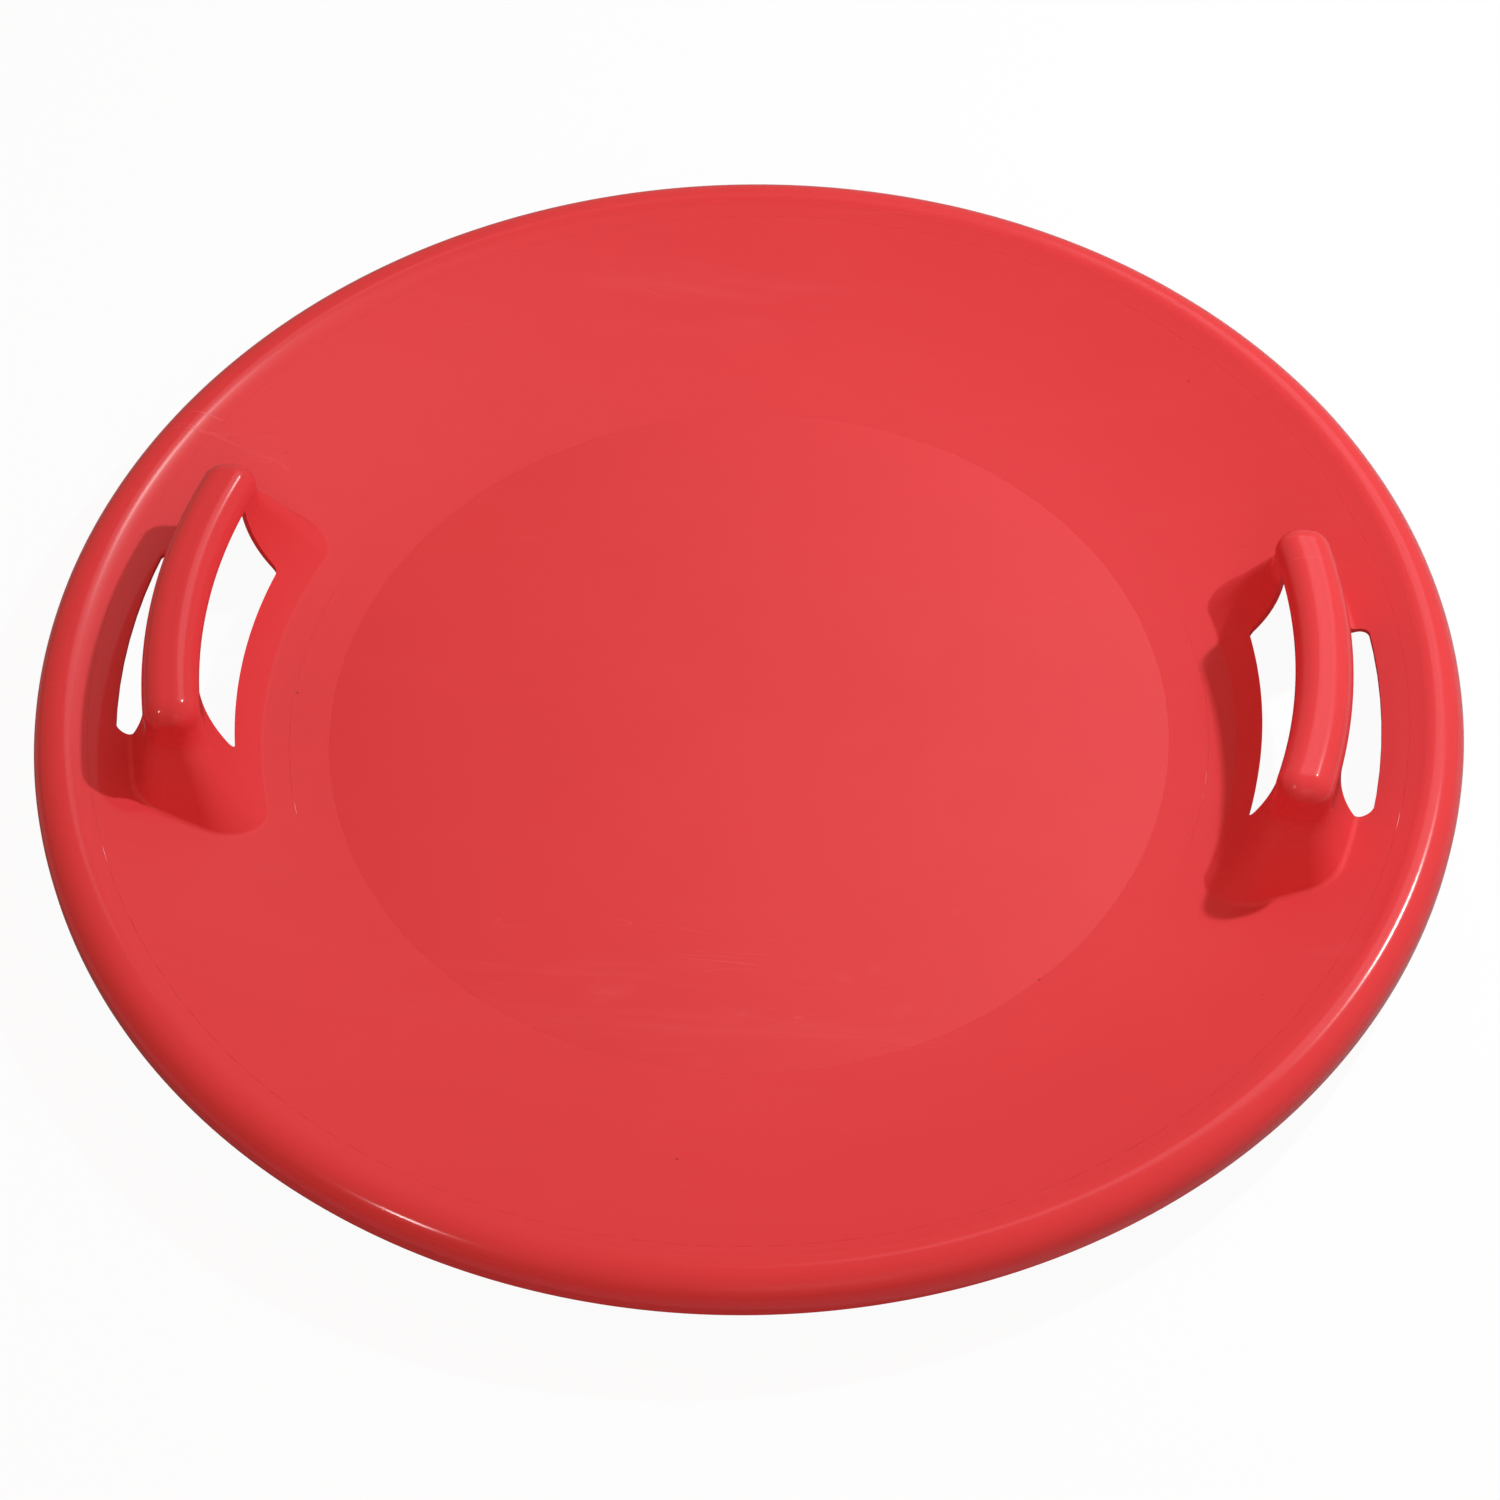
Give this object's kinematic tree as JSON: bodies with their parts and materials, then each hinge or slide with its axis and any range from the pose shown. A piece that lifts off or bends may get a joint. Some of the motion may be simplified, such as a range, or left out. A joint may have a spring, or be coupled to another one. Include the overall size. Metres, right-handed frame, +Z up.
{
  "type": "saucer sled",
  "caption": "Round plastic saucer sled with a flat seat, curved side wall, rolled rim and raised moulded hand grips with finger openings.",
  "frame": {"origin": "centre of the flat underside, where the sled rests on the snow", "axes": "+Z up; the hand grips stand on the +X and -X sides; the front faces -Y"},
  "size_m": [0.65, 0.65, 0.076],
  "materials": {
    "red_plastic": "glossy moulded"
  },
  "bodies": {
    "root": {"seat_disc": "red_plastic", "side_wall": "red_plastic", "rim_roll": "red_plastic", "left_grip": "red_plastic", "left_sill": "red_plastic", "left_front_foot": "red_plastic", "left_rear_foot": "red_plastic", "right_grip": "red_plastic", "right_sill": "red_plastic", "right_front_foot": "red_plastic", "right_rear_foot": "red_plastic"}
  },
  "joints": []
}
